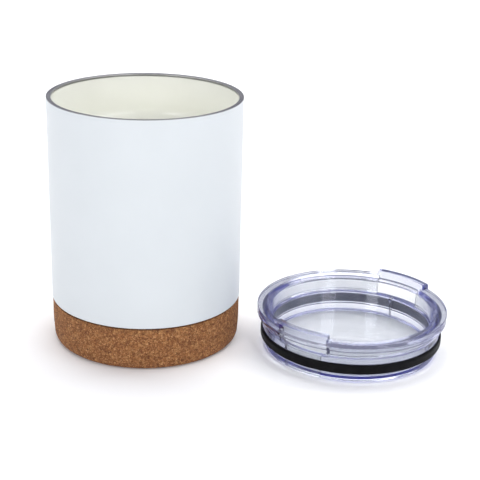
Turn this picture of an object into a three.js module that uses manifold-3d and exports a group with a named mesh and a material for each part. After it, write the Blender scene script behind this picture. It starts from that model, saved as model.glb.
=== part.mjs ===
import * as THREE from 'three'
import { mergeVertices } from 'three/addons/utils/BufferGeometryUtils.js'
import Module from 'manifold-3d'

// A double-wall vacuum tumbler with a cork base, and beside it the clear press-in lid
// that fits its mouth. The lid carries a turning ring with two finger lugs.
// Millimetres, +Z up. The origin is on the cup's axis at the level that it stands on.

// Driving dimensions of the cup
const cupRadius = 42
const cupHeight = 110
const corkTop = 19.4
const corkInset = 0.2
const corkFloor = 4
const corkWall = 1.9
const corkEdge = 2.6
const mouthRadius = 40
const linerRadius = 38
const shoulderDepth = 17
const linerFloor = 14
const sheet = 0.5
const gap = 0.3

// Driving dimensions of the lid
const lidX = 92
const lidY = -11
const plugRadius = 38.5
const neckRadius = 39.5
const wellRadius = 35.2
const flangeUnderside = 15.3
const ringSeat = 16.9
const ringTop = 19.1
const ledgeHeight = 10.6
const gasketRadius = 40.3
const gasketBottom = 4.6
const gasketHeight = 4.2
const lugRise = 2.3
// The front lug stands a few degrees off the point opposite the back one.
const backLug = 47
const frontLug = 231.75
const lugAzimuths = [backLug, frontLug]
const lugHalfAngle = 19

const segments = 60

const wasm = await Module()
wasm.setup()

// A profile point: distance from the axis, height.
const at = (r, z) => new THREE.Vector2(r, z)
const radians = (degrees) => (degrees * Math.PI) / 180

// Points on an arc of a profile, from one angle to another in degrees.
function arc(r, z, radius, from, to, steps) {
  return Array.from({ length: steps + 1 }, (_, i) => {
    const angle = radians(from + ((to - from) * i) / steps)
    return at(r + radius * Math.cos(angle), z + radius * Math.sin(angle))
  })
}

// A solid turned about +Z. The profile runs counter-clockwise, radius to the right and
// height up; off the axis it is closed on itself.
function turned(profile, sides = segments) {
  const points = profile[0].x > 0 ? [...profile, profile[0]] : profile
  return new THREE.LatheGeometry(points, sides).rotateX(Math.PI / 2)
}

// A block of a ring between two radii, two azimuths in degrees and two heights.
function sector(inner, outer, from, to, bottom, top) {
  const shape = new THREE.Shape()
  shape.absarc(0, 0, outer, radians(from), radians(to), false)
  shape.absarc(0, 0, inner, radians(to), radians(from), true)
  const settings = { depth: top - bottom, bevelEnabled: false, curveSegments: 8 }
  return new THREE.ExtrudeGeometry(shape, settings).translate(0, 0, bottom)
}

function toSolid(geometry) {
  const bare = geometry.clone()
  bare.deleteAttribute('normal')
  bare.deleteAttribute('uv')
  const merged = mergeVertices(bare, 1e-5)
  const index = merged.index.array
  const kept = []
  for (let i = 0; i < index.length; i += 3) {
    const [a, b, c] = index.slice(i, i + 3)
    if (a !== b && b !== c && c !== a) kept.push(a, b, c)
  }
  const vertProperties = Float32Array.from(merged.attributes.position.array)
  return new wasm.Manifold(new wasm.Mesh({ numProp: 3, vertProperties, triVerts: Uint32Array.from(kept) }))
}

function toGeometry(solid) {
  const { vertProperties, triVerts } = solid.getMesh()
  const geometry = new THREE.BufferGeometry()
  geometry.setAttribute('position', new THREE.BufferAttribute(vertProperties, 3))
  geometry.setIndex(new THREE.BufferAttribute(triVerts, 1))
  return geometry
}

// One geometry joined with some others, less some more.
function combined(geometry, joined, removed) {
  let solid = toSolid(geometry)
  for (const piece of joined) solid = solid.add(toSolid(piece))
  for (const piece of removed) solid = solid.subtract(toSolid(piece))
  return toGeometry(solid)
}

const finish = (color, roughness, metalness, opacity = 1) =>
  new THREE.MeshStandardMaterial({ color, roughness, metalness, opacity, transparent: opacity < 1 })

const powderCoat = finish(0xe7ecf1, 0.45, 0)
const linerCoat = finish(0xecedde, 0.25, 0)
const bareSteel = finish(0xb4b4b2, 0.3, 1)
const dullSteel = finish(0x9d9c9a, 0.5, 1)
const cork = finish(0x9a6843, 0.9, 0)
const solder = finish(0xc9c6bd, 0.4, 1)
const getterMetal = finish(0x6d6a68, 0.7, 1)
const adhesive = finish(0xd8d4c6, 0.8, 0)
const clearPlastic = finish(0xdfe2f4, 0.06, 0, 0.35)
const silicone = finish(0x1c1c1e, 0.55, 0)

const group = new THREE.Group()
const lid = new THREE.Group()
lid.position.set(lidX, lidY, 0)
group.add(lid)

function addTo(parent, name, geometry, material) {
  const mesh = new THREE.Mesh(geometry, material)
  mesh.name = name
  parent.add(mesh)
}

// The cup's outer steel wall: full width above the cork, then a step in to a narrower
// skirt that the cork sits round.
const skirtRadius = cupRadius - corkInset - corkWall - gap
const skirtBottom = corkFloor + 1.6
const lipBottom = cupHeight - 0.8
addTo(
  group,
  'outer_wall',
  turned([
    at(skirtRadius - sheet, skirtBottom),
    at(skirtRadius, skirtBottom),
    at(skirtRadius, corkTop + 0.2),
    ...arc(cupRadius - 0.6, corkTop + 0.8, 0.6, -90, 0, 2),
    at(cupRadius, lipBottom),
    at(cupRadius - sheet, lipBottom),
    at(cupRadius - sheet, corkTop + 0.7),
    at(skirtRadius - sheet, corkTop + 0.7),
  ]),
  powderCoat,
)

// The inner vessel: as wide as the mouth down to a rounded shoulder, then narrower, with
// a large corner radius at its floor.
const cornerRadius = 9
const shoulderTop = cupHeight - shoulderDepth
const vesselTop = lipBottom - gap
function vesselSide(offset) {
  return [
    ...arc(linerRadius - cornerRadius, linerFloor + cornerRadius, cornerRadius + offset, -90, 0, 5),
    at(linerRadius + offset, shoulderTop - 4.5),
    at(linerRadius + 0.6 + offset, shoulderTop - 2.8),
    at(mouthRadius - 0.6 + offset, shoulderTop - 1.2),
    at(mouthRadius + offset, shoulderTop + 0.5),
    at(mouthRadius + offset, vesselTop),
  ]
}
addTo(
  group,
  'inner_vessel',
  turned([at(0, linerFloor - sheet), ...vesselSide(sheet), ...vesselSide(0).reverse(), at(0, linerFloor)]),
  linerCoat,
)

// The bare steel lip, where the two walls are welded: a flat top with rounded edges and
// a thin web down between the walls.
const lipRound = 0.5
const webBottom = lipBottom - 2
const webMiddle = (cupRadius + mouthRadius) / 2
addTo(
  group,
  'mouth_ring',
  turned([
    at(webMiddle - 0.2, webBottom),
    at(webMiddle + 0.2, webBottom),
    at(webMiddle + 0.2, lipBottom),
    at(cupRadius, lipBottom),
    ...arc(cupRadius - lipRound, cupHeight - lipRound, lipRound, 0, 90, 2),
    ...arc(mouthRadius + lipRound, cupHeight - lipRound, lipRound, 90, 180, 2),
    at(mouthRadius, lipBottom),
    at(webMiddle - 0.2, lipBottom),
  ]),
  bareSteel,
)

// The steel plate that closes the vacuum space, with a raised rim and a central dimple
// round the evacuation hole.
const plateRadius = skirtRadius - sheet - gap
const plateBottom = skirtBottom
const dimpleRadius = 7
const dimpleRise = 2
const holeRadius = 1.5
addTo(
  group,
  'base_plate',
  turned([
    at(holeRadius, plateBottom + dimpleRise),
    at(dimpleRadius, plateBottom + dimpleRise),
    at(dimpleRadius + 1, plateBottom),
    at(plateRadius, plateBottom),
    at(plateRadius, plateBottom + 4),
    at(plateRadius - sheet, plateBottom + 4),
    at(plateRadius - sheet, plateBottom + sheet),
    at(dimpleRadius + 1, plateBottom + sheet),
    at(dimpleRadius, plateBottom + dimpleRise + sheet),
    at(holeRadius, plateBottom + dimpleRise + sheet),
  ]),
  dullSteel,
)

// The solder plug that seals the evacuation hole from below.
addTo(
  group,
  'vacuum_seal',
  turned(
    [
      at(0, plateBottom + 0.2),
      at(4.5, plateBottom + 0.4),
      at(5.6, plateBottom + dimpleRise - gap),
      at(holeRadius - gap, plateBottom + dimpleRise - gap),
      at(holeRadius - gap, plateBottom + dimpleRise + 1),
      at(0, plateBottom + dimpleRise + 1.3),
    ],
    24,
  ),
  solder,
)

// The getter, a tablet that keeps the vacuum clean, in a shallow steel cup on the plate.
const getterX = 20
const getterRadius = 5
const cupBottom = plateBottom + sheet + 0.1
addTo(
  group,
  'getter_cup',
  turned(
    [
      at(0, cupBottom),
      at(getterRadius + 0.8, cupBottom),
      at(getterRadius + 0.8, cupBottom + 2),
      at(getterRadius + gap, cupBottom + 2),
      at(getterRadius + gap, cupBottom + 0.5),
      at(0, cupBottom + 0.5),
    ],
    24,
  ).translate(getterX, 0, 0),
  dullSteel,
)
addTo(
  group,
  'getter_tablet',
  turned(
    [
      at(0, cupBottom + 0.6),
      at(getterRadius, cupBottom + 0.6),
      at(getterRadius, cupBottom + 2.6),
      at(0, cupBottom + 2.6),
    ],
    24,
  ).translate(getterX, 0, 0),
  getterMetal,
)

// The glue pad between the steel plate and the cork's floor.
const padRadius = 35
addTo(
  group,
  'glue_pad',
  turned([
    at(0, corkFloor + 0.1),
    at(padRadius, corkFloor + 0.1),
    at(padRadius, plateBottom - 0.1),
    at(0, plateBottom - 0.1),
  ]),
  adhesive,
)

// The cork base, a cup with a rounded lower edge and a fine groove left under the wall.
const corkRadius = cupRadius - corkInset
const seamGroove = 0.5
const corkRim = corkTop - seamGroove
addTo(
  group,
  'cork_base',
  turned([
    at(0, 0),
    ...arc(corkRadius - corkEdge, corkEdge, corkEdge, -90, 0, 4),
    at(corkRadius, corkRim - 0.4),
    at(corkRadius - 0.4, corkRim),
    at(corkRadius - corkWall, corkRim),
    at(corkRadius - corkWall, corkFloor),
    at(0, corkFloor),
  ]),
  cork,
)

// The lid's body: a deep clear dish. From the foot up its outside is the plug, the gasket
// groove, the neck and the flange; inside are the well, a ledge and the ring's seat.
const footInner = 35
const underside = 0.6
const wellFloor = 2
const grooveRadius = 38.7
const grooveTop = gasketBottom + gasketHeight + 0.2
const seatRadius = 36.9
const beadGroove = 37.3
const pocketRadius = 38.4
const bodyProfile = [
  at(0, underside),
  at(footInner - 0.6, underside),
  at(footInner, 0),
  at(plugRadius - 0.9, 0),
  at(plugRadius, 0.9),
  at(plugRadius, gasketBottom - 1.1),
  at(neckRadius - 0.2, gasketBottom - 0.6),
  at(neckRadius - 0.2, gasketBottom - 0.2),
  at(grooveRadius, gasketBottom - 0.2),
  at(grooveRadius, grooveTop),
  at(neckRadius, grooveTop),
  at(neckRadius, flangeUnderside),
  at(cupRadius - 0.4, flangeUnderside),
  at(cupRadius, flangeUnderside + 0.4),
  at(cupRadius, ringSeat),
  at(seatRadius, ringSeat),
  at(seatRadius, ledgeHeight + 1.6),
  at(beadGroove, ledgeHeight + 1.4),
  at(beadGroove, ledgeHeight + 0.3),
  at(seatRadius, ledgeHeight),
  at(wellRadius, ledgeHeight),
  at(wellRadius, wellFloor + 0.9),
  at(wellRadius - 0.9, wellFloor),
  at(0, wellFloor),
]
// A pocket behind each lug, and from the front pocket a channel down to the foot.
const channelInner = 37
const channelOuter = 38
const pocketHalfAngle = lugHalfAngle - 0.5
const pockets = lugAzimuths.map((azimuth) => {
  const from = azimuth - pocketHalfAngle
  const to = azimuth + pocketHalfAngle
  return sector(wellRadius + 1, pocketRadius, from, to, ledgeHeight, ringSeat + 1)
})
const channelHalfAngle = 14
const drinkChannel = sector(
  channelInner,
  channelOuter,
  frontLug - channelHalfAngle,
  frontLug + channelHalfAngle,
  -1,
  ledgeHeight + 1,
)
// The air vent: a small hole in the well's wall and a bore down from it to the foot.
const ventAzimuth = 53
const ventHeight = 9.3
const ventRadius = 0.9
const ventBoreRadius = 0.55
const ventReach = (channelInner + channelOuter) / 2
const ventHole = new THREE.CylinderGeometry(ventRadius, ventRadius, 4, 12)
  .rotateZ(Math.PI / 2)
  .translate(ventReach - 2, 0, ventHeight)
  .rotateZ(radians(ventAzimuth))
const ventBore = new THREE.CylinderGeometry(ventBoreRadius, ventBoreRadius, ventHeight + 1, 12)
  .rotateX(Math.PI / 2)
  .translate(ventReach - ventBoreRadius, 0, (ventHeight - 1) / 2)
  .rotateZ(radians(ventAzimuth))
addTo(
  lid,
  'lid_body',
  combined(turned(bodyProfile), [], [...pockets, drinkChannel, ventHole, ventBore]),
  clearPlastic,
)

// The gasket, a black silicone band with a rounded outer face.
const gasketInner = grooveRadius + 0.1
const gasketTop = gasketBottom + gasketHeight
addTo(
  lid,
  'gasket',
  turned([
    at(gasketInner, gasketBottom),
    at(gasketRadius - 0.7, gasketBottom),
    at(gasketRadius, gasketBottom + 1.2),
    at(gasketRadius, gasketTop - 1.2),
    at(gasketRadius - 0.7, gasketTop),
    at(gasketInner, gasketTop),
  ]),
  silicone,
)

// The turning ring: a flat ring on the flange, a sleeve down inside it with a snap bead,
// and two raised lugs to turn it by. Behind each lug the sleeve and the ring's inner edge
// are cut away, so that the lug is a plain wall with an open notch in front of it.
const ringBottom = ringSeat + gap
const sleeveBottom = ledgeHeight + gap
const sleeveOuter = seatRadius - gap
const ringInner = 37.6
const lugInner = pocketRadius + 0.2
const ringProfile = [
  at(wellRadius + 0.5, sleeveBottom),
  at(sleeveOuter - 0.3, sleeveBottom),
  at(beadGroove - gap, sleeveBottom + 0.4),
  at(beadGroove - gap, sleeveBottom + 0.8),
  at(sleeveOuter, sleeveBottom + 1.1),
  at(sleeveOuter, ringBottom),
  at(cupRadius, ringBottom),
  at(cupRadius, ringTop - 0.4),
  at(cupRadius - 0.4, ringTop),
  at(ringInner, ringTop),
  at(sleeveOuter - 0.5, ringBottom - 0.1),
]
const lugProfile = [
  at(lugInner - 0.2, ringTop - 0.5),
  at(cupRadius - 0.05, ringTop - 0.5),
  at(cupRadius - 0.05, ringTop + lugRise - 0.5),
  at(cupRadius - 0.6, ringTop + lugRise),
  at(lugInner - 0.2, ringTop + lugRise),
]
const lugs = lugAzimuths.map((azimuth) => {
  const from = azimuth - lugHalfAngle
  const to = azimuth + lugHalfAngle
  const wedge = sector(lugInner - 1, cupRadius + 2, from, to, ringTop - 1, ringTop + lugRise + 1)
  return toGeometry(toSolid(turned(lugProfile)).intersect(toSolid(wedge)))
})
const notchHalfAngle = lugHalfAngle - 1.5
const notches = lugAzimuths.map((azimuth) => {
  const from = azimuth - notchHalfAngle
  const to = azimuth + notchHalfAngle
  return sector(wellRadius - 1, lugInner, from, to, sleeveBottom - 1, ringTop + lugRise + 1)
})
addTo(lid, 'turn_ring', combined(turned(ringProfile), lugs, notches), clearPlastic)

export default group
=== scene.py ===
"""A white insulated tumbler with a cork base, and its clear press-in lid beside it.

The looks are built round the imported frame. Lengths in the dimension block are in millimetres,
and everything that Blender gets is in metres.
"""

import math

import bmesh
import bpy
from mathutils import Matrix, Vector, noise


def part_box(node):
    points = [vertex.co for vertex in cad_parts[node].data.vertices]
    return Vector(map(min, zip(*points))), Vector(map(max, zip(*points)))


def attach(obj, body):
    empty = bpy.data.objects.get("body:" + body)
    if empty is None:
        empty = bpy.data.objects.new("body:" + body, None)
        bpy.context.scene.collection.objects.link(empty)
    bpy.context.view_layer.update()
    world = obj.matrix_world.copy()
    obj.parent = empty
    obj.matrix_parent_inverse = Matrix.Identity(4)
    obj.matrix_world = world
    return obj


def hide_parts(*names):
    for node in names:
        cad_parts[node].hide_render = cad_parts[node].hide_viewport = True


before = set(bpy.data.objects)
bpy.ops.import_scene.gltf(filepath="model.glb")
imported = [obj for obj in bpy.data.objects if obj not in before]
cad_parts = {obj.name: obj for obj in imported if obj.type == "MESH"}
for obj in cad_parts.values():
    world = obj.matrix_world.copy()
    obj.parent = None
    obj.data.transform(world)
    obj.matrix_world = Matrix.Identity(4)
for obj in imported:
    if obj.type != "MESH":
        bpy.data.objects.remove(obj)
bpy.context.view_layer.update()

MM = 0.001
# How far past a rounded corner, in millimetres, the flat beside it starts.
HOLD = 0.05
# Points nearer than this, in metres, are one point.
MERGE = 1e-7
SHARP_ANGLE = math.radians(35)

# ---------------------------------------------------------------- sizes from the frame

wall_low, wall_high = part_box("outer_wall")
lip_low, lip_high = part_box("mouth_ring")
cork_low, cork_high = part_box("cork_base")
dish_low, dish_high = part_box("lid_body")
ring_low, ring_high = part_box("turn_ring")
band_low, band_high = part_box("gasket")

CUP_RADIUS = wall_high.x / MM
CUP_HEIGHT = lip_high.z / MM
WALL_TOP = wall_high.z / MM
CORK_RADIUS = cork_high.x / MM
CORK_RIM = cork_high.z / MM
LID_X = (dish_low.x + dish_high.x) / 2 / MM
LID_Y = (dish_low.y + dish_high.y) / 2 / MM
LID_RADIUS = (dish_high.x - dish_low.x) / 2 / MM
SEAT = dish_high.z / MM
SLEEVE_BOTTOM = ring_low.z / MM
LUG_TOP = ring_high.z / MM
BAND_BOTTOM = band_low.z / MM
BAND_TOP = band_high.z / MM
BAND_RADIUS = (band_high.x - band_low.x) / 2 / MM

# ---------------------------------------------------------------- sizes of the cup

MOUTH_RADIUS = 40.0
COAT_TOP = CUP_HEIGHT - 0.15
LINER_RADIUS = 38.0
SHEET = 0.5
SKIRT_RADIUS = 39.6
SKIRT_BOTTOM = 5.6
SHOULDER = 93.0
LINER_FLOOR = 14.0
LINER_CORNER = 9.0
WEB_HALF = 0.2
WEB_DEPTH = 2.0
LIP_FALL = 0.1
CORK_WALL = 1.9
CORK_FLOOR = 4.0
CORK_EDGE = 3.2
CORK_TAPER = 0.6
CORK_TAPER_TOP = 9.0
# Cork granules to the metre.
GRANULES = 950.0

# ---------------------------------------------------------------- sizes of the lid

WELL_RADIUS = 35.2
WELL_FLOOR = 2.0
UNDERSIDE = 0.6
FOOT_INNER = 35.0
FOOT_RADIUS = 38.5
GROOVE_RADIUS = 38.7
NECK_RADIUS = 39.5
CHANNEL_INNER = 37.0
CHANNEL_OUTER = 38.0
CHANNEL_HALF = 13.2
LEDGE = 10.6
SEAT_RADIUS = 36.9
POCKET_RADIUS = 38.4
BEAD_GROOVE = 37.3
FLANGE_UNDERSIDE = 15.3
RING_BOTTOM = 17.2
RING_TOP = 19.1
RING_INNER = 37.6
LUG_INNER = 38.6
BACK_LUG = 47.0
FRONT_LUG = 231.75
LUG_AZIMUTHS = (BACK_LUG, FRONT_LUG)
VENT_AZIMUTH = 53.0
VENT_HEIGHT = 9.3
VENT_RADIUS = 0.9
VENT_BORE_RADIUS = 0.55
VENT_BORE_REACH = 37.0
BELOW_FOOT = -1.0
LUG_HALF = 19.0
POCKET_HALF = 18.5
NOTCH_HALF = 17.5


# ================================================================ mesh helpers


def smoothed(corners, steps=4):
    """Profile points in metres. A corner is (radius, height, cut) in millimetres, and a curve
    that starts and ends cut away from it rounds it. A point just past each end of the curve
    keeps the flat beside it flat in the shading. Every corner gives steps + 3 points."""
    points = []
    count = len(corners)
    for i, (r, z, cut) in enumerate(corners):
        here = Vector((r, z))
        before = Vector(corners[i - 1][:2]) - here
        after = Vector(corners[(i + 1) % count][:2]) - here
        starts = []
        for side in (before, after):
            reach = min(cut, side.length * 0.45)
            hold = min(reach + HOLD, side.length * 0.48)
            starts.append((here + side.normalized() * hold, here + side.normalized() * reach))
        (first, start), (last, end) = starts
        points.append(first)
        for step in range(steps + 1):
            t = step / steps
            points.append(start * (1 - t) ** 2 + here * 2 * t * (1 - t) + end * t * t)
        points.append(last)
    return [(max(p.x, 0.0) * MM, p.y * MM) for p in points]


def surface(name, profiles, azimuths, centre=(0.0, 0.0)):
    """A closed surface through one closed profile at each azimuth, in degrees."""
    mesh = bmesh.new()
    rows = []
    for profile, azimuth in zip(profiles, azimuths):
        c, s = math.cos(math.radians(azimuth)), math.sin(math.radians(azimuth))
        x, y = centre[0] * MM, centre[1] * MM
        rows.append([mesh.verts.new((x + r * c, y + r * s, z)) for r, z in profile])
    count = len(rows[0])
    for i, row in enumerate(rows):
        beside = rows[(i + 1) % len(rows)]
        for j in range(count):
            k = (j + 1) % count
            mesh.faces.new((row[j], beside[j], beside[k], row[k]))
    bmesh.ops.remove_doubles(mesh, verts=mesh.verts, dist=MERGE)
    bmesh.ops.recalc_face_normals(mesh, faces=mesh.faces)
    return finished(name, mesh)


def finished(name, mesh):
    """The mesh as a named object, smooth apart from its sharp edges."""
    data = bpy.data.meshes.new(name)
    mesh.to_mesh(data)
    mesh.free()
    data.shade_smooth()
    data.set_sharp_from_angle(angle=SHARP_ANGLE)
    piece = bpy.data.objects.new(name, data)
    bpy.context.scene.collection.objects.link(piece)
    return piece


def turned(name, corners, steps=256, centre=(0.0, 0.0), fine=4):
    """A round piece from one profile."""
    azimuths = [360 * i / steps for i in range(steps)]
    profile = smoothed(corners, fine)
    return surface(name, [profile] * steps, azimuths, centre)


def cut(piece, cutters):
    """Takes each cutter out of the piece, and removes the cutters."""
    for cutter in cutters:
        modifier = piece.modifiers.new("cut", "BOOLEAN")
        modifier.operation = "DIFFERENCE"
        modifier.solver = "EXACT"
        modifier.object = cutter
        bpy.context.view_layer.objects.active = piece
        bpy.ops.object.modifier_apply(modifier=modifier.name)
        bpy.data.objects.remove(cutter)
    piece.data.shade_smooth()
    piece.data.set_sharp_from_angle(angle=SHARP_ANGLE)


def curved_slot(inner, outer, azimuth, half, low, high):
    """A cutter: an arc of a ring with round ends."""
    arc_steps, end_steps = 32, 8
    middle, half_width = (inner + outer) / 2, (outer - inner) / 2
    outline = []
    for i in range(arc_steps + 1):
        angle = math.radians(azimuth - half + 2 * half * i / arc_steps)
        outline.append((outer * math.cos(angle), outer * math.sin(angle)))
    for end in (1, -1):
        angle = math.radians(azimuth + end * half)
        along = Vector((math.cos(angle), math.sin(angle)))
        across = Vector((-math.sin(angle), math.cos(angle))) * end
        arc = []
        for i in range(1, end_steps):
            turn = math.pi * i / end_steps
            outwards = along * (middle + half_width * math.cos(turn))
            arc.append(outwards + across * half_width * math.sin(turn))
        if end == 1:
            outline += [tuple(p) for p in arc]
            for i in range(arc_steps + 1):
                angle = math.radians(azimuth + half - 2 * half * i / arc_steps)
                outline.append((inner * math.cos(angle), inner * math.sin(angle)))
        else:
            outline += [tuple(p) for p in reversed(arc)]
    return prism("slot", outline, low, high)


def prism(name, outline, low, high):
    """A cutter: an outline in the lid's plane between two heights."""
    mesh = bmesh.new()
    rows = [
        [mesh.verts.new(((LID_X + x) * MM, (LID_Y + y) * MM, z * MM)) for x, y in outline]
        for z in (low, high)
    ]
    count = len(outline)
    for i in range(count):
        k = (i + 1) % count
        mesh.faces.new((rows[0][i], rows[0][k], rows[1][k], rows[1][i]))
    mesh.faces.new(list(reversed(rows[0])))
    mesh.faces.new(rows[1])
    bmesh.ops.recalc_face_normals(mesh, faces=mesh.faces)
    return finished(name, mesh)


# ================================================================ material helpers


def new_material(name, **inputs):
    """A material with its Principled shader's plain values set."""
    made = bpy.data.materials.new(name)
    made.use_nodes = True
    shader = made.node_tree.nodes["Principled BSDF"]
    for key, value in inputs.items():
        shader.inputs[key.replace("_", " ")].default_value = value
    return made, made.node_tree, shader


def add(tree, kind, inputs=(), **settings):
    """A node with its settings, and inputs given as (name, value or socket)."""
    made = tree.nodes.new(kind)
    for key, value in settings.items():
        setattr(made, key, value)
    for key, value in inputs:
        if isinstance(value, bpy.types.NodeSocket):
            tree.links.new(value, made.inputs[key])
        else:
            made.inputs[key].default_value = value
    return made


def place(tree):
    """The piece's own coordinates, in metres."""
    return add(tree, "ShaderNodeTexCoord").outputs["Object"]


def ramp(tree, factor, stops):
    """A colour ramp: stops are (place, colour)."""
    made = add(tree, "ShaderNodeValToRGB", [("Fac", factor)])
    elements = made.color_ramp.elements
    while len(elements) < len(stops):
        elements.new(0.5)
    for element, (spot, colour) in zip(elements, stops):
        element.position = spot
        element.color = (*colour, 1)
    return made.outputs["Color"]


def grains(tree, where, scale, detail=2.0, rough=0.5):
    """A noise from 0 to 1. Scale is its waves to the metre."""
    made = add(
        tree,
        "ShaderNodeTexNoise",
        [("Vector", where), ("Scale", scale), ("Detail", detail), ("Roughness", rough)],
    )
    return made.outputs["Fac"]


def span(tree, value, low, high, start=0.0, end=1.0):
    """A value between start and end, mapped to between low and high."""
    made = add(
        tree,
        "ShaderNodeMapRange",
        [("Value", value), ("From Min", start), ("From Max", end), ("To Min", low), ("To Max", high)],
    )
    return made.outputs["Result"]


def blend(tree, factor, first, second):
    """A colour from the first one, at factor 0, to the second one, at factor 1."""
    made = tree.nodes.new("ShaderNodeMix")
    made.data_type = "RGBA"
    for key, value in (("Factor_Float", factor), ("A_Color", first), ("B_Color", second)):
        socket = next(s for s in made.inputs if s.identifier == key)
        if isinstance(value, bpy.types.NodeSocket):
            tree.links.new(value, socket)
        else:
            socket.default_value = value if key == "Factor_Float" else (*value, 1)
    return next(s for s in made.outputs if s.identifier == "Result_Color")


def bumped(tree, shader, height, distance, strength=1.0, under=None):
    """Relief from a height, given in metres as distance."""
    made = add(
        tree,
        "ShaderNodeBump",
        [("Height", height), ("Distance", distance), ("Strength", strength)],
    )
    if under is not None:
        tree.links.new(under, made.inputs["Normal"])
    tree.links.new(made.outputs["Normal"], shader.inputs["Normal"])
    return made.outputs["Normal"]


# ================================================================ materials


def powder_coat():
    """Satin white powder coat: a fine even orange peel and a little drift in its gloss."""
    made, tree, shader = new_material("powder_coat", Coat_Weight=0.12, Coat_Roughness=0.35)
    where = place(tree)
    drift = grains(tree, where, 45.0, 3.0)
    peel = grains(tree, where, 2600.0, 2.0, 0.6)
    tint = ramp(tree, drift, [(0.3, (0.612, 0.649, 0.66)), (0.7, (0.627, 0.664, 0.675))])
    tree.links.new(tint, shader.inputs["Base Color"])
    tree.links.new(span(tree, drift, 0.38, 0.46, 0.3, 0.7), shader.inputs["Roughness"])
    bumped(tree, shader, peel, 0.00002, 0.35)
    return made


def cream_lining():
    """Glossy cream coating inside the cup, with a slow wave left by its flow."""
    made, tree, shader = new_material("cream_lining", Coat_Weight=0.55, Coat_Roughness=0.1)
    where = place(tree)
    flow = grains(tree, where, 60.0, 2.0)
    speck = grains(tree, where, 900.0, 1.0)
    tint = ramp(tree, flow, [(0.3, (0.835, 0.84, 0.765)), (0.7, (0.85, 0.855, 0.785))])
    tree.links.new(tint, shader.inputs["Base Color"])
    tree.links.new(span(tree, speck, 0.34, 0.38, 0.3, 0.7), shader.inputs["Roughness"])
    bumped(tree, shader, flow, 0.0002, 0.25)
    return made


def around(tree, centre=(0.0, 0.0)):
    """Coordinates that run round an axis: angle, radius, height."""
    shift = add(
        tree,
        "ShaderNodeVectorMath",
        [(0, place(tree)), (1, (centre[0] * MM, centre[1] * MM, 0.0))],
        operation="SUBTRACT",
    )
    apart = add(tree, "ShaderNodeSeparateXYZ", [("Vector", shift.outputs["Vector"])])
    x, y, z = (apart.outputs[k] for k in "XYZ")
    angle = add(tree, "ShaderNodeMath", [(0, y), (1, x)], operation="ARCTAN2").outputs[0]
    flat = add(tree, "ShaderNodeCombineXYZ", [("X", x), ("Y", y)])
    radius = add(tree, "ShaderNodeVectorMath", [(0, flat.outputs[0])], operation="LENGTH")
    joined = add(
        tree,
        "ShaderNodeCombineXYZ",
        [("X", angle), ("Y", radius.outputs["Value"]), ("Z", z)],
    )
    return joined.outputs["Vector"]


def bare_steel(name="bare_steel", tone=0.34, roughness=0.3):
    """Steel turned on a lathe: fine lines that run round the axis."""
    made, tree, shader = new_material(name, Metallic=1.0)
    lines = add(
        tree, "ShaderNodeMapping", [("Vector", around(tree)), ("Scale", (1.2, 9000.0, 9000.0))]
    ).outputs["Vector"]
    brushed = grains(tree, lines, 1.0, 3.0, 0.7)
    tint = ramp(
        tree,
        brushed,
        [(0.3, (tone * 0.8, tone * 0.8, tone * 0.79)), (0.7, (tone * 1.15, tone * 1.15, tone * 1.13))],
    )
    tree.links.new(tint, shader.inputs["Base Color"])
    tree.links.new(
        span(tree, brushed, roughness - 0.08, roughness + 0.1, 0.3, 0.7), shader.inputs["Roughness"]
    )
    bumped(tree, shader, brushed, 0.00001, 0.4)
    return made


def cork_material():
    """Pressed cork: granules of several browns, dark bark flecks and fine dark joints."""
    small_granules, waves, wave_height = 2300.0, 500.0, 0.00035
    made, tree, shader = new_material("pressed_cork", Specular_IOR_Level=0.25)
    where = place(tree)
    warp = add(tree, "ShaderNodeTexNoise", [("Vector", where), ("Scale", waves), ("Detail", 2.0)])
    nudge = add(
        tree,
        "ShaderNodeVectorMath",
        [(0, warp.outputs["Color"]), (1, (wave_height, wave_height, wave_height))],
        operation="MULTIPLY",
    )
    bent = add(
        tree, "ShaderNodeVectorMath", [(0, where), (1, nudge.outputs["Vector"])], operation="ADD"
    ).outputs["Vector"]
    big = add(tree, "ShaderNodeTexVoronoi", [("Vector", bent), ("Scale", GRANULES)])
    small = add(tree, "ShaderNodeTexVoronoi", [("Vector", bent), ("Scale", small_granules)])
    joints = add(
        tree,
        "ShaderNodeTexVoronoi",
        [("Vector", bent), ("Scale", GRANULES)],
        feature="DISTANCE_TO_EDGE",
    )
    big_tone = add(tree, "ShaderNodeSeparateColor", [("Color", big.outputs["Color"])]).outputs[0]
    small_tone = add(tree, "ShaderNodeSeparateColor", [("Color", small.outputs["Color"])]).outputs[1]
    browns = ramp(
        tree,
        big_tone,
        [
            (0.0, (0.11, 0.038, 0.012)),
            (0.25, (0.21, 0.081, 0.029)),
            (0.6, (0.33, 0.136, 0.046)),
            (1.0, (0.50, 0.25, 0.097)),
        ],
    )
    chips = ramp(
        tree,
        small_tone,
        [
            (0.0, (0.06, 0.02, 0.007)),
            (0.3, (0.22, 0.085, 0.031)),
            (0.8, (0.42, 0.195, 0.073)),
            (1.0, (0.68, 0.38, 0.175)),
        ],
    )
    grained = blend(tree, 0.5, browns, chips)
    edge = span(tree, joints.outputs["Distance"], 0.72, 0.0, 0.0, 0.09)
    jointed = blend(tree, edge, grained, (0.085, 0.0278, 0.00936))
    fleck = ramp(tree, grains(tree, where, 900.0, 4.0, 0.7), [(0.60, (0, 0, 0)), (0.70, (1, 1, 1))])
    spotted = blend(tree, fleck, jointed, (0.055, 0.0191, 0.0072))
    tree.links.new(spotted, shader.inputs["Base Color"])
    tree.links.new(span(tree, small_tone, 0.72, 0.92), shader.inputs["Roughness"])
    pits = span(tree, joints.outputs["Distance"], 0.0, 1.0, 0.0, 0.12)
    under = bumped(tree, shader, pits, 0.00012, 0.8)
    bumped(tree, shader, grains(tree, where, 3000.0, 3.0, 0.7), 0.00008, 0.6, under)
    return made


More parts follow.
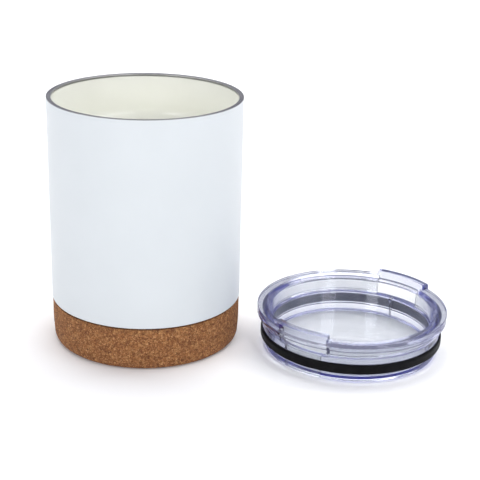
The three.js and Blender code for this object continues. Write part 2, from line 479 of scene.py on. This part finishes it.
def clear_plastic(name, low, high):
    """Clear plastic: its surfaces take a little light, from low to high, and its body turns
    blue-violet with its thickness."""
    made, tree, shader = new_material(name, IOR=1.54, Transmission_Weight=1.0)
    where = place(tree)
    flow = grains(tree, where, 120.0, 2.0)
    haze = grains(tree, where, 1500.0, 2.0)
    tint = ramp(tree, flow, [(0.3, low), (0.7, high)])
    tree.links.new(tint, shader.inputs["Base Color"])
    tree.links.new(span(tree, haze, 0.015, 0.05, 0.3, 0.7), shader.inputs["Roughness"])
    bumped(tree, shader, flow, 0.0001, 0.15)
    inside = add(
        tree, "ShaderNodeVolumeAbsorption", [("Color", (0.40, 0.43, 0.83, 1)), ("Density", 74.0)]
    )
    tree.links.new(inside.outputs["Volume"], tree.nodes["Material Output"].inputs["Volume"])
    return made


def silicone():
    """Black silicone: satin, with the faint dust-dull patches such bands have, and greyed
    by talc on the inner face that sits in the groove."""
    talc_from, talc_to = 38.9, 39.3
    made, tree, shader = new_material("black_silicone", Specular_IOR_Level=0.07)
    where = place(tree)
    dust = grains(tree, where, 300.0, 4.0, 0.6)
    grain = grains(tree, where, 4000.0, 2.0)
    black = ramp(tree, dust, [(0.35, (0.003, 0.003, 0.0035)), (0.75, (0.008, 0.008, 0.009))])
    polar = add(tree, "ShaderNodeSeparateXYZ", [("Vector", around(tree, (LID_X, LID_Y)))])
    talc = span(tree, polar.outputs["Y"], 1.0, 0.0, talc_from * MM, talc_to * MM)
    tree.links.new(blend(tree, talc, black, (0.16, 0.165, 0.19)), shader.inputs["Base Color"])
    tree.links.new(span(tree, dust, 0.38, 0.55, 0.3, 0.7), shader.inputs["Roughness"])
    bumped(tree, shader, grain, 0.00001, 0.4)
    return made


def dull(name, colour, roughness, metallic=0.0):
    """A plain material for the pieces shut in the base, with fine grain."""
    made, tree, shader = new_material(name, Metallic=metallic)
    grain = grains(tree, place(tree), 1200.0, 3.0)
    dark = tuple(c * 0.8 for c in colour)
    tree.links.new(ramp(tree, grain, [(0.3, dark), (0.7, colour)]), shader.inputs["Base Color"])
    tree.links.new(span(tree, grain, roughness - 0.08, roughness + 0.08), shader.inputs["Roughness"])
    bumped(tree, shader, grain, 0.00003, 0.5)
    return made


# ================================================================ the cup


def outer_wall():
    """The coated steel wall, stepped in to a skirt that the cork sits round."""
    inner = CUP_RADIUS - SHEET
    skirt_top = CORK_RIM + 0.7
    return turned(
        "outer_wall_coated",
        [
            (SKIRT_RADIUS - SHEET, SKIRT_BOTTOM, 0.1),
            (SKIRT_RADIUS, SKIRT_BOTTOM, 0.1),
            (SKIRT_RADIUS, skirt_top, 0.3),
            (CUP_RADIUS, skirt_top, 0.6),
            (CUP_RADIUS, COAT_TOP, 0.08),
            (inner, COAT_TOP, 0.05),
            (inner, skirt_top + SHEET, 0.3),
            (SKIRT_RADIUS - SHEET, skirt_top + SHEET, 0.3),
        ],
    )


def liner_side(offset):
    """The inner vessel's side from its floor up, offset outwards."""
    shoulder_bottom, shoulder_top = SHOULDER - 4.2, SHOULDER - 0.8
    bend = 2.4
    return [
        (LINER_RADIUS + offset, LINER_FLOOR - offset, LINER_CORNER + offset),
        (LINER_RADIUS + offset, shoulder_bottom, bend),
        (MOUTH_RADIUS + offset, shoulder_top, bend),
        (MOUTH_RADIUS + offset, WALL_TOP - 0.3, 0.05),
    ]


def lining():
    """The inner vessel: a shoulder below the mouth, and a large corner at its floor."""
    corners = [
        (0.0, LINER_FLOOR - SHEET, 0.0),
        *liner_side(SHEET),
        *reversed(liner_side(0.0)),
        (0.0, LINER_FLOOR, 0.0),
    ]
    return turned("lining_cream", corners, fine=8)


def lip():
    """The bare steel lip, with a thin web down between the walls. Its top falls a little
    towards the mouth."""
    middle = (CUP_RADIUS + MOUTH_RADIUS) / 2
    web_bottom = WALL_TOP - WEB_DEPTH
    return turned(
        "lip_steel",
        [
            (middle - WEB_HALF, web_bottom, 0.05),
            (middle + WEB_HALF, web_bottom, 0.05),
            (middle + WEB_HALF, COAT_TOP, 0.05),
            (CUP_RADIUS, COAT_TOP, 0.03),
            (CUP_RADIUS, CUP_HEIGHT, 0.06),
            (MOUTH_RADIUS, CUP_HEIGHT - LIP_FALL, 0.2),
            (MOUTH_RADIUS, WALL_TOP, 0.08),
            (middle - WEB_HALF, WALL_TOP, 0.05),
        ],
    )


def cork_base():
    """The cork cup, its outer face pitted between the granules."""
    outer_face, spacing = 39.0, 0.4
    pit_width, pit_depth = 0.22, 0.09
    waves, wave_depth = 350, 0.07
    rim_edge = CORK_RIM * MM - 1e-5
    corners = [
        (0.0, 0.0, 0.0),
        (CORK_RADIUS - CORK_TAPER, 0.0, CORK_EDGE),
        (CORK_RADIUS, CORK_TAPER_TOP, 3.5),
        (CORK_RADIUS, CORK_RIM, 0.35),
        (CORK_RADIUS - CORK_WALL, CORK_RIM, 0.2),
        (CORK_RADIUS - CORK_WALL, CORK_FLOOR, 0.4),
        (0.0, CORK_FLOOR, 0.0),
    ]
    fine = []
    profile = smoothed(corners, 6)
    for point, after in zip(profile, profile[1:]):
        outside = min(point[0], after[0]) > outer_face * MM
        gap = math.dist(point, after)
        pieces = max(1, round(gap / (spacing * MM))) if outside else 1
        for i in range(pieces):
            t = i / pieces
            fine.append(tuple(a + (b - a) * t for a, b in zip(point, after)))
    fine.append(profile[-1])
    steps = 640
    azimuths = [360 * i / steps for i in range(steps)]
    piece = surface("base_cork", [fine] * steps, azimuths)
    for vertex in piece.data.vertices:
        spot = vertex.co
        reach = math.hypot(spot.x, spot.y)
        if reach > (CORK_RADIUS - CORK_EDGE) * MM and spot.z < rim_edge:
            near, far = noise.voronoi(spot * GRANULES)[0][:2]
            pit = max(0.0, 1 - (far - near) / pit_width)
            wave = 0.5 + 0.5 * noise.noise(spot * waves)
            depth = (pit_depth * pit + wave_depth * wave) * MM
            spot.x -= spot.x / reach * depth
            spot.y -= spot.y / reach * depth
    return piece


# ================================================================ the lid

# A change round the lid is a table: distance along the arc in millimetres, then how far the
# change has come there. In a notch the sleeve goes first, then the ring's inner edge, and the
# sleeve's bead has died out by BEAD_END.
BEAD_END = 0.06
LUG_END = [
    (-0.3, 0.0),
    (-0.1, 0.02),
    (-0.02, 0.08),
    (0.0, 0.16),
    (0.0, 0.84),
    (0.02, 0.92),
    (0.1, 0.98),
    (0.3, 1.0),
]
POCKET_END = [
    (-0.95, 0.0),
    (-0.75, 0.02),
    (-0.6, 0.08),
    (-0.5, 0.15),
    (0.5, 0.85),
    (0.6, 0.92),
    (0.75, 0.98),
    (0.95, 1.0),
]
NOTCH_END = [
    (-0.3, 0.0, 0.0),
    (-0.1, 0.02, 0.0),
    (0.0, BEAD_END, 0.0),
    (0.0, 1.0, 0.0),
    (0.0, 1.0, 0.85),
    (0.02, 1.0, 0.93),
    (0.1, 1.0, 0.985),
    (0.3, 1.0, 1.0),
]


def away(azimuth):
    """How far an azimuth is from the nearest lug's centre, in degrees."""
    return min(abs((azimuth - centre + 180) % 360 - 180) for centre in LUG_AZIMUTHS)


def stations(features, every=2.0):
    """Azimuths round the lid, and what each feature amounts to there. A feature is
    (half angle, steps, radius), and a step's values follow its distance along the arc."""
    margin = 0.2
    found = []
    for i in range(round(360 / every)):
        azimuth = every * i
        near = any(
            abs(away(azimuth) - half) < math.degrees(abs(steps[0][0]) / radius) + margin
            for half, steps, radius in features
        )
        if not near:
            found.append((azimuth, 0, None))
    for index, (half, steps, radius) in enumerate(features):
        for centre in LUG_AZIMUTHS:
            for side in (-1, 1):
                for order, (offset, *values) in enumerate(steps):
                    inward = math.degrees(offset / radius)
                    azimuth = centre + side * (half - inward)
                    rank = order if side == -1 else -order
                    found.append((azimuth % 360, rank, (index, values)))
    found.sort(key=lambda station: (round(station[0], 7), station[1]))
    result = []
    for azimuth, _, own in found:
        state = []
        for index, (half, steps, _) in enumerate(features):
            if own is not None and own[0] == index:
                state += own[1]
            else:
                state += [1.0 if away(azimuth) < half else 0.0] * (len(steps[0]) - 1)
        result.append((azimuth, state))
    return result


def mixed(first, second, share):
    """Two profiles mixed, by the second one's share."""
    return [
        tuple(a + (b - a) * share for a, b in zip(one, other)) for one, other in zip(first, second)
    ]


def dish_corners(pocket):
    """The lid body's profile. pocket is 1 where the wall is hollowed behind a lug."""
    foot, groove, neck = FOOT_RADIUS, GROOVE_RADIUS, NECK_RADIUS
    wall = SEAT_RADIUS + (POCKET_RADIUS - SEAT_RADIUS) * pocket
    bead = BEAD_GROOVE + (POCKET_RADIUS - BEAD_GROOVE) * pocket
    return [
        (0.0, UNDERSIDE, 0.0),
        (FOOT_INNER - UNDERSIDE, UNDERSIDE, 0.3),
        (FOOT_INNER, 0.0, 0.15),
        (foot - 0.2, 0.0, 1.4),
        (foot, BAND_BOTTOM - 0.9, 0.3),
        (neck - 0.2, BAND_BOTTOM - 0.6, 0.15),
        (neck - 0.2, BAND_BOTTOM - 0.2, 0.12),
        (groove, BAND_BOTTOM - 0.2, 0.1),
        (groove, BAND_TOP + 0.2, 0.1),
        (neck, BAND_TOP + 0.2, 0.15),
        (neck, FLANGE_UNDERSIDE, 0.3),
        (LID_RADIUS, FLANGE_UNDERSIDE, 0.45),
        (LID_RADIUS, SEAT, 0.12),
        (wall, SEAT, 0.2),
        (wall, LEDGE + 1.6, 0.1),
        (bead, LEDGE + 1.4, 0.1),
        (bead, LEDGE + 0.3, 0.1),
        (wall, LEDGE, 0.2),
        (WELL_RADIUS, LEDGE, 0.25),
        (WELL_RADIUS, WELL_FLOOR, 0.35),
        (0.0, WELL_FLOOR, 0.0),
    ]


def lid_dish():
    """The lid's body, with its pockets, drink channel and vent."""
    places = stations([(POCKET_HALF, POCKET_END, POCKET_RADIUS)])
    profiles = [smoothed(dish_corners(state[0])) for _, state in places]
    piece = surface("lid_dish", profiles, [a for a, _ in places], (LID_X, LID_Y))
    channel = curved_slot(
        CHANNEL_INNER, CHANNEL_OUTER, FRONT_LUG, CHANNEL_HALF, BELOW_FOOT, LEDGE + 0.5
    )
    cut(piece, [channel, vent_bore(), vent_hole()])
    return piece


def vent_bore():
    """A cutter: the bore from the vent down to the foot."""
    sides = 24
    azimuth = math.radians(VENT_AZIMUTH)
    outline = []
    for i in range(sides):
        angle = math.tau * i / sides
        x = VENT_BORE_REACH * math.cos(azimuth) + VENT_BORE_RADIUS * math.cos(angle)
        y = VENT_BORE_REACH * math.sin(azimuth) + VENT_BORE_RADIUS * math.sin(angle)
        outline.append((x, y))
    return prism("bore", outline, BELOW_FOOT, VENT_HEIGHT + 0.3)


def vent_hole():
    """A cutter: the small round hole in the well's wall."""
    reach, depth = 35.3, 4
    radius = VENT_RADIUS * MM
    mesh = bmesh.new()
    bmesh.ops.create_cone(
        mesh, cap_ends=True, segments=32, radius1=radius, radius2=radius, depth=depth * MM
    )
    swing = Matrix.Rotation(math.radians(VENT_AZIMUTH), 4, "Z")
    turn = swing @ Matrix.Rotation(math.pi / 2, 4, "Y")
    shift = swing @ Vector((reach * MM, 0, 0))
    centre = Vector((LID_X * MM, LID_Y * MM, VENT_HEIGHT * MM)) + shift
    bmesh.ops.transform(mesh, matrix=Matrix.Translation(centre) @ turn, verts=mesh.verts)
    return finished("vent", mesh)


def ring_corners(short, open_, lug):
    """The turning ring's profile. short is 1 where the sleeve is gone, open_ where the
    ring's inner edge is gone too, and lug where the lug stands."""
    sleeve = SEAT_RADIUS - 0.3
    bead = sleeve + (BEAD_GROOVE - SEAT_RADIUS) * max(0.0, 1 - short / BEAD_END)
    inner = WELL_RADIUS + 0.5
    low = SLEEVE_BOTTOM
    rise = (LUG_TOP - RING_TOP) * lug
    top = [
        (LID_RADIUS, RING_BOTTOM, 0.12),
        (LID_RADIUS, RING_TOP + rise, 0.35),
        (LUG_INNER + 0.5 * (1 - lug), RING_TOP + rise, 0.3 * lug),
        (LUG_INNER - 0.2 * (1 - lug), RING_TOP + 0.3 * lug * open_, 0.12),
    ]
    whole = [
        (inner, low, 0.15),
        (sleeve - 0.3, low, 0.15),
        (bead, low + 0.4, 0.1),
        (bead, low + 0.8, 0.1),
        (sleeve, low + 1.1, 0.1),
        (sleeve, RING_BOTTOM, 0.1),
        *top,
        (RING_INNER, RING_TOP, 0.25),
        (sleeve - 0.5, RING_BOTTOM - 0.1, 0.4),
    ]
    cropped = [
        *((sleeve - 0.25 + 0.05 * i, RING_BOTTOM, 0.03) for i in range(6)),
        *top,
        (RING_INNER, RING_TOP, 0.25),
        (sleeve - 0.25, RING_BOTTOM + 0.25, 0.1),
    ]
    notched = [
        (LUG_INNER, RING_BOTTOM, 0.1),
        *((LUG_INNER + 0.3 * i, RING_BOTTOM, 0.03) for i in range(1, 6)),
        *top,
        (LUG_INNER, RING_TOP - 0.6, 0.03),
        (LUG_INNER, RING_BOTTOM + 0.6, 0.03),
    ]
    return mixed(mixed(whole, cropped, short), notched, open_)


def turning_ring():
    """The ring: a sleeve with a snap bead, a notch behind each lug, and the lugs."""
    features = [(NOTCH_HALF, NOTCH_END, LUG_INNER), (LUG_HALF, LUG_END, LID_RADIUS)]
    places = stations(features)
    profiles = [smoothed(ring_corners(*state)) for _, state in places]
    return surface("lid_ring", profiles, [a for a, _ in places], (LID_X, LID_Y))


def gasket_band():
    """The silicone band: rounded outside, with a shallow groove along its middle."""
    inner = 38.8
    middle = (BAND_BOTTOM + BAND_TOP) / 2
    return turned(
        "gasket_silicone",
        [
            (inner, BAND_BOTTOM, 0.1),
            (BAND_RADIUS - 0.3, BAND_BOTTOM, 0.5),
            (BAND_RADIUS, BAND_BOTTOM + 0.9, 0.5),
            (BAND_RADIUS - 0.1, middle, 0.5),
            (BAND_RADIUS, BAND_TOP - 0.9, 0.5),
            (BAND_RADIUS - 0.3, BAND_TOP, 0.5),
            (inner, BAND_TOP, 0.1),
        ],
        centre=(LID_X, LID_Y),
    )


# ================================================================ put together


def dress(piece, material, body, node):
    """Gives a piece its material and its place in the frame."""
    piece.data.materials.clear()
    piece.data.materials.append(material)
    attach(piece, body)
    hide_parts(node)


dish_plastic = clear_plastic("clear_dish", (0.862, 0.874, 0.852), (0.872, 0.884, 0.862))
ring_plastic = clear_plastic("clear_ring", (0.825, 0.836, 0.825), (0.84, 0.851, 0.84))

dress(outer_wall(), powder_coat(), "cup", "outer_wall")
dress(lining(), cream_lining(), "cup", "inner_vessel")
dress(lip(), bare_steel(), "cup", "mouth_ring")
dress(cork_base(), cork_material(), "cup", "cork_base")
dress(lid_dish(), dish_plastic, "lid", "lid_body")
dress(gasket_band(), silicone(), "lid", "gasket")
dress(turning_ring(), ring_plastic, "ring", "turn_ring")

# The pieces shut in the base keep their CAD shapes.
SHUT_IN = {
    "base_plate": bare_steel("base_steel", 0.34, 0.45),
    "getter_cup": bare_steel("getter_steel", 0.34, 0.5),
    "vacuum_seal": dull("seal_solder", (0.58, 0.56, 0.51), 0.4, 1.0),
    "getter_tablet": dull("getter_dark", (0.15, 0.14, 0.14), 0.7, 1.0),
    "glue_pad": dull("glue_cream", (0.69, 0.66, 0.57), 0.8),
}
for node_name, material in SHUT_IN.items():
    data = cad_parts[node_name].data
    data.materials.clear()
    data.materials.append(material)


# ================================================================ stage, light and camera


def stage_floor():
    """A wide pale floor just under the object. It glows where the lights no longer reach it."""
    half, drop = 6.0, 0.00005
    glow_from, glow_to = 0.7, 1.7
    mesh = bmesh.new()
    corners = [(-half, -half), (half, -half), (half, half), (-half, half)]
    mesh.faces.new([mesh.verts.new((x, y, -drop)) for x, y in corners])
    floor = finished("floor", mesh)
    made, tree, shader = new_material("pale_floor", Roughness=0.9, Specular_IOR_Level=0.0)
    paper = grains(tree, place(tree), 30.0, 2.0)
    tint = ramp(tree, paper, [(0.3, (0.93, 0.93, 0.93)), (0.7, (0.94, 0.94, 0.94))])
    tree.links.new(tint, shader.inputs["Base Color"])
    polar = add(tree, "ShaderNodeSeparateXYZ", [("Vector", around(tree))])
    glow = span(tree, polar.outputs["Y"], 0.0, 1.0, glow_from, glow_to)
    shader.inputs["Emission Color"].default_value = (1, 1, 1, 1)
    tree.links.new(glow, shader.inputs["Emission Strength"])
    floor.data.materials.append(made)


def soft_box(name, spot, target, size, brightness):
    """A rectangular light. Brightness is its radiance beside white paper's at 1."""
    data = bpy.data.lights.new(name, "AREA")
    data.shape = "RECTANGLE"
    data.size, data.size_y = size
    data.energy = brightness * math.pi * size[0] * size[1]
    lamp = bpy.data.objects.new(name, data)
    lamp.location = spot
    aim = Vector(target) - Vector(spot)
    lamp.rotation_mode = "QUATERNION"
    lamp.rotation_quaternion = aim.to_track_quat("-Z", "Y")
    bpy.context.scene.collection.objects.link(lamp)


def front_box(name, azimuth, elevation, width, height, brightness):
    """A soft box before the lid: azimuth is from the front towards +X, in degrees."""
    side, up = math.radians(azimuth), math.radians(elevation)
    reach = 1.4
    target = Vector((LID_X * MM, LID_Y * MM, 0.01))
    flat = math.cos(up)
    offset = Vector((math.sin(side) * flat, -math.cos(side) * flat, math.sin(up)))
    soft_box(name, target + offset * reach, target, (width, height), brightness)


def studio_world():
    """A dim bluish room with a paler ceiling, seen as plain white where nothing is in front."""
    front, back, ceiling = (0.19, 0.19, 0.30), (0.25, 0.25, 0.34), (0.45, 0.45, 0.46)
    backdrop = (1.1, 1.1, 1.1)
    world = bpy.data.worlds.new("studio")
    bpy.context.scene.world = world
    world.use_nodes = True
    tree = world.node_tree
    background = tree.nodes["Background"]
    facing = add(tree, "ShaderNodeTexCoord").outputs["Generated"]
    apart = add(tree, "ShaderNodeSeparateXYZ", [("Vector", facing)])
    above = span(tree, apart.outputs["Z"], 0.0, 1.0, 0.3, 0.7)
    behind = span(tree, apart.outputs["Y"], 0.0, 1.0, 0.1, 0.7)
    tone = blend(tree, above, blend(tree, behind, front, back), ceiling)
    seen = add(tree, "ShaderNodeLightPath").outputs["Is Camera Ray"]
    tree.links.new(blend(tree, seen, tone, backdrop), background.inputs["Color"])


def make_camera():
    """Stands in front and above, between cup and lid, looking a little down."""
    spot = (0.03342, -0.49645, 0.23154)
    pitch, yaw, roll = math.radians(20.62), math.radians(0.96), math.radians(-1.4)
    across = Vector((math.cos(yaw), -math.sin(yaw), 0))
    flat = math.cos(pitch)
    ahead = Vector((math.sin(yaw) * flat, math.cos(yaw) * flat, -math.sin(pitch)))
    up = across.cross(ahead)
    right = across * math.cos(roll) - up * math.sin(roll)
    top = across * math.sin(roll) + up * math.cos(roll)
    data = bpy.data.cameras.new("camera")
    data.sensor_width = 36.0
    data.lens = 89.3
    camera = bpy.data.objects.new("camera", data)
    turn = Matrix((right, top, -ahead)).transposed().to_4x4()
    camera.matrix_world = Matrix.Translation(spot) @ turn
    bpy.context.scene.collection.objects.link(camera)
    bpy.context.scene.camera = camera


stage_floor()
studio_world()
soft_box("overhead", (0.12, 0.45, 1.3), (0.05, 0.05, 0.0), (2.6, 0.5), 4.1)
soft_box("back_box", (0.05, 0.9, 1.2), (0.05, 0.0, 0.0), (1.4, 0.8), 1.8)
front_box("right_box", 29.0, 20.0, 0.5, 0.36, 8.0)
front_box("left_box", -37.0, 20.0, 0.42, 0.36, 8.5)
front_box("far_right_box", 64.0, 38.0, 0.7, 0.8, 2.6)
front_box("far_left_box", -66.0, 25.0, 0.6, 0.8, 1.7)
make_camera()

# Light has to get through many faces of the clear lid, so its paths are long.
BOUNCES = 32
scene = bpy.context.scene
scene.view_settings.view_transform = "Standard"
scene.cycles.max_bounces = BOUNCES
scene.cycles.transmission_bounces = BOUNCES
scene.cycles.glossy_bounces = BOUNCES
scene.cycles.blur_glossy = 0.0
